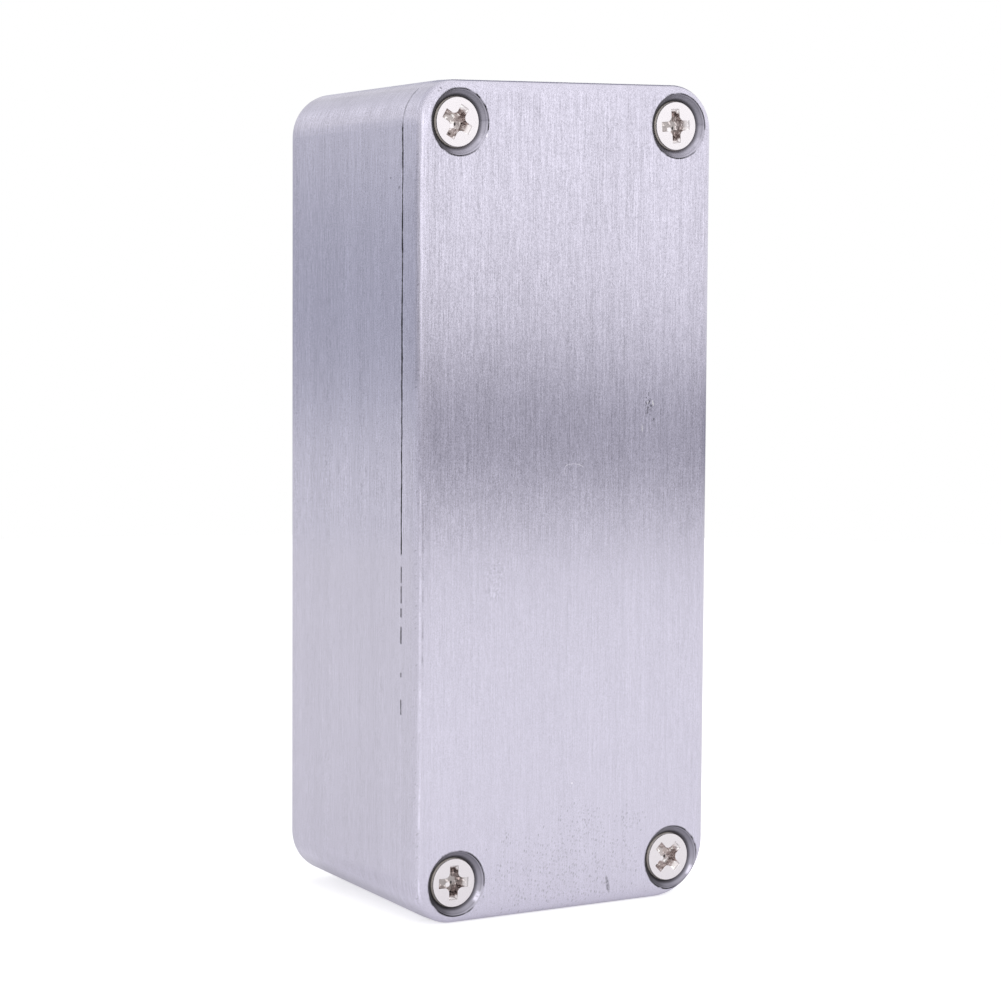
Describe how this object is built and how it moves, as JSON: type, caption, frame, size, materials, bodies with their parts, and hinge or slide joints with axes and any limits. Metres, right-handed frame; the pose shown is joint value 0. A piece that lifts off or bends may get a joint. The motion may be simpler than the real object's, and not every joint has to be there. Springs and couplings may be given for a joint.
{
  "type": "die cast aluminium box",
  "caption": "Small hollow enclosure with tapered walls, rounded corners and a flat lid held on by countersunk cross-recess corner screws, brushed along its length",
  "frame": {"origin": "centre of the footprint, at the lowest point of the box as it stands on its short end", "axes": "+Z along the length, -Y out of the lid face, +X to the right when facing the lid"},
  "size_m": [0.039, 0.031, 0.093],
  "materials": {
    "body_aluminium": "bare die casting, brushed along the length",
    "lid_aluminium": "bare die casting, brushed along the length, with fine pits and scuffs",
    "screw_nickel": "nickel plate, slightly matt"
  },
  "bodies": {
    "root": {"box_body": "body_aluminium", "lid": "lid_aluminium", "lid_screw_top_left": "screw_nickel", "lid_screw_top_right": "screw_nickel", "lid_screw_bottom_left": "screw_nickel", "lid_screw_bottom_right": "screw_nickel"}
  },
  "joints": []
}
